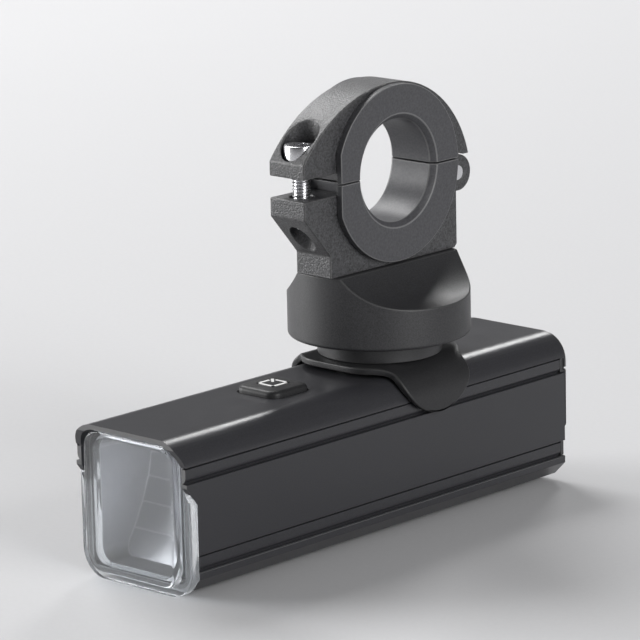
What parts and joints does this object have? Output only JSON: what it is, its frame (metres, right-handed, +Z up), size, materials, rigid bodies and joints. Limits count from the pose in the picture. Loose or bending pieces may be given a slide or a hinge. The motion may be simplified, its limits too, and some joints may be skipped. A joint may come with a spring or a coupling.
{
  "type": "bike headlight",
  "caption": "Bike headlight: a long box-shaped lamp with a hooded clear lens and a top button, hung by a quarter-turn foot from a hinged handlebar clamp with a reducer bush.",
  "frame": {"origin": "on the handlebar's axis, midway across the clamp's width", "axes": "+X along the handlebar, -Y the way the beam leaves, +Z up; the lamp hangs below the bar"},
  "size_m": [0.0396, 0.1216, 0.0952],
  "materials": {
    "clamp_black": "blasted and black anodised",
    "bush_grey": "smooth moulded",
    "puck_satin": "satin black anodised",
    "foot_grey": "smooth moulded",
    "saddle_black": "matte black coating",
    "body_satin": "fine satin black anodised",
    "steel": "bright",
    "lens_clear": "clear polycarbonate",
    "reflector_bright": "metallised plastic",
    "seal_rubber": "soft",
    "led_board_white": "white solder mask",
    "emitter_yellow": "phosphor",
    "lead_red": "wire insulation",
    "cell_wrap": "shrink wrap over a metal can",
    "cradle_plastic": "moulded",
    "contact_metal": "plated strip",
    "board_green": "solder mask",
    "switch_plastic": "moulded",
    "button_rubber": "soft touch",
    "socket_steel": "drawn shell",
    "cap_plastic": "moulded",
    "cover_rubber": "soft"
  },
  "bodies": {
    "clamp": {"clamp_base": "clamp_black", "lower_bush": "bush_grey", "hinge_pin": "steel", "mount_puck": "puck_satin", "puck_screws": "steel"},
    "clamp_cap": {"clamp_cap": "clamp_black", "upper_bush": "bush_grey", "clamp_bolt": "steel"},
    "lamp": {"turn_foot": "foot_grey", "foot_screws": "steel", "saddle_bracket": "saddle_black", "body_shell": "body_satin", "lens": "lens_clear", "lens_gasket": "seal_rubber", "reflector": "reflector_bright", "led_board": "led_board_white", "led_emitter": "emitter_yellow", "led_leads": "lead_red", "battery_cell": "cell_wrap", "battery_cradle": "cradle_plastic", "battery_contacts": "contact_metal", "main_board": "board_green", "board_screws": "steel", "button_switch": "switch_plastic", "usb_board": "board_green", "usb_socket": "socket_steel", "rear_cap": "cap_plastic", "rear_gasket": "seal_rubber", "rear_screws": "steel"},
    "power_button": {"power_button": "button_rubber"},
    "port_cover": {"port_cover": "cover_rubber"}
  },
  "joints": [
    {"name": "cap_hinge", "type": "hinge", "parent": "clamp", "child": "clamp_cap", "pos_m": [0, 0.021, -0.004], "axis": [-1, 0, 0], "range_deg": [0, 100]},
    {"name": "lamp_turn", "type": "hinge", "parent": "clamp", "child": "lamp", "pos_m": [0, 0, -0.034], "axis": [0, 0, 1], "range_deg": [0, 90]},
    {"name": "button_press", "type": "slide", "parent": "lamp", "child": "power_button", "axis": [0, 0, -1], "range_m": [0, 0.0006], "stiffness_N_per_m": 2500},
    {"name": "port_cover_swing", "type": "hinge", "parent": "lamp", "child": "port_cover", "pos_m": [0, 0.04361, -0.0512], "axis": [1, 0, 0], "range_deg": [0, 100]}
  ]
}
